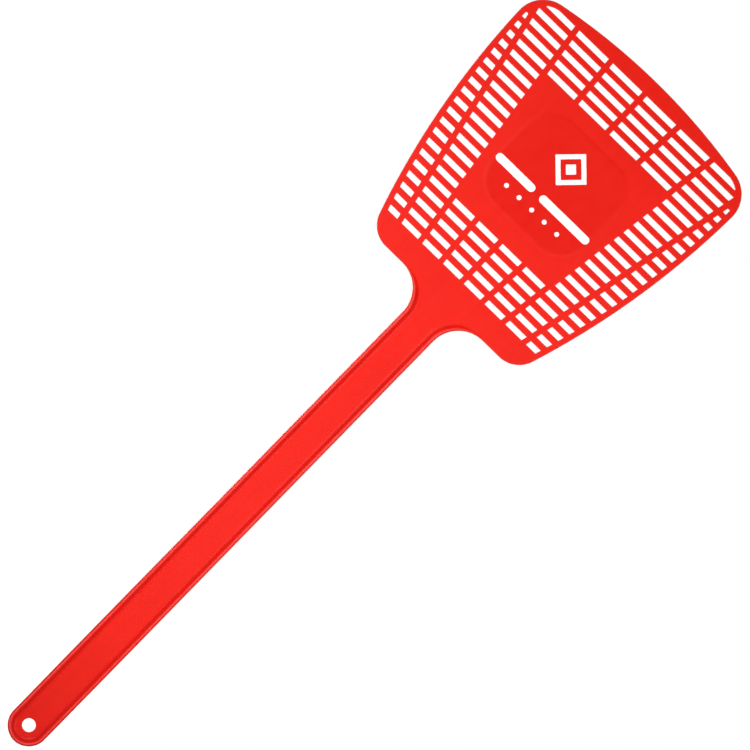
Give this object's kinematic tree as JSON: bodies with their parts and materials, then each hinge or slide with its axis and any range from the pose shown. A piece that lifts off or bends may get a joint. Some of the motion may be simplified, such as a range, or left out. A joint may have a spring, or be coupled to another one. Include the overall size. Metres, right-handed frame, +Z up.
{
  "type": "fly swatter",
  "caption": "Moulded plastic fly swatter: a flat slotted paddle with a plain printed panel, on a strap handle with raised rims and a hang hole.",
  "frame": {"origin": "centre of the hang hole, on the mid-plane of the plate", "axes": "+Z up the handle to the head, +X to the right seen from the printed front, the printed front faces -Y"},
  "size_m": [0.1312, 0.0048, 0.4064],
  "materials": {
    "red_plastic": "satin moulded polypropylene",
    "white_ink": "matte printed ink"
  },
  "bodies": {
    "handle": {"handle_web": "red_plastic", "butt_rim": "red_plastic", "handle_rim_left": "red_plastic", "handle_rim_right": "red_plastic", "flex_web": "red_plastic", "flex_rim_left": "red_plastic", "flex_rim_right": "red_plastic"},
    "head": {"shoulder_plate": "red_plastic", "throat_rim_left": "red_plastic", "throat_rim_right": "red_plastic", "side_rail_left": "red_plastic", "side_rail_right": "red_plastic", "top_rail": "red_plastic", "grille_left": "red_plastic", "grille_right": "red_plastic", "grille_top": "red_plastic", "grille_bottom": "red_plastic", "centre_panel": "red_plastic", "imprint_pad": "red_plastic", "printed_diamond": "white_ink", "printed_bars": "white_ink", "printed_dots": "white_ink"}
  },
  "joints": [
    {"name": "neck_flex", "type": "hinge", "parent": "handle", "child": "head", "pos_m": [0, 0, 0.2], "axis": [1, 0, 0], "range_deg": [-30, 30], "stiffness_Nm_per_rad": 0.32, "deforming": ["flex_web", "flex_rim_left", "flex_rim_right"]}
  ]
}
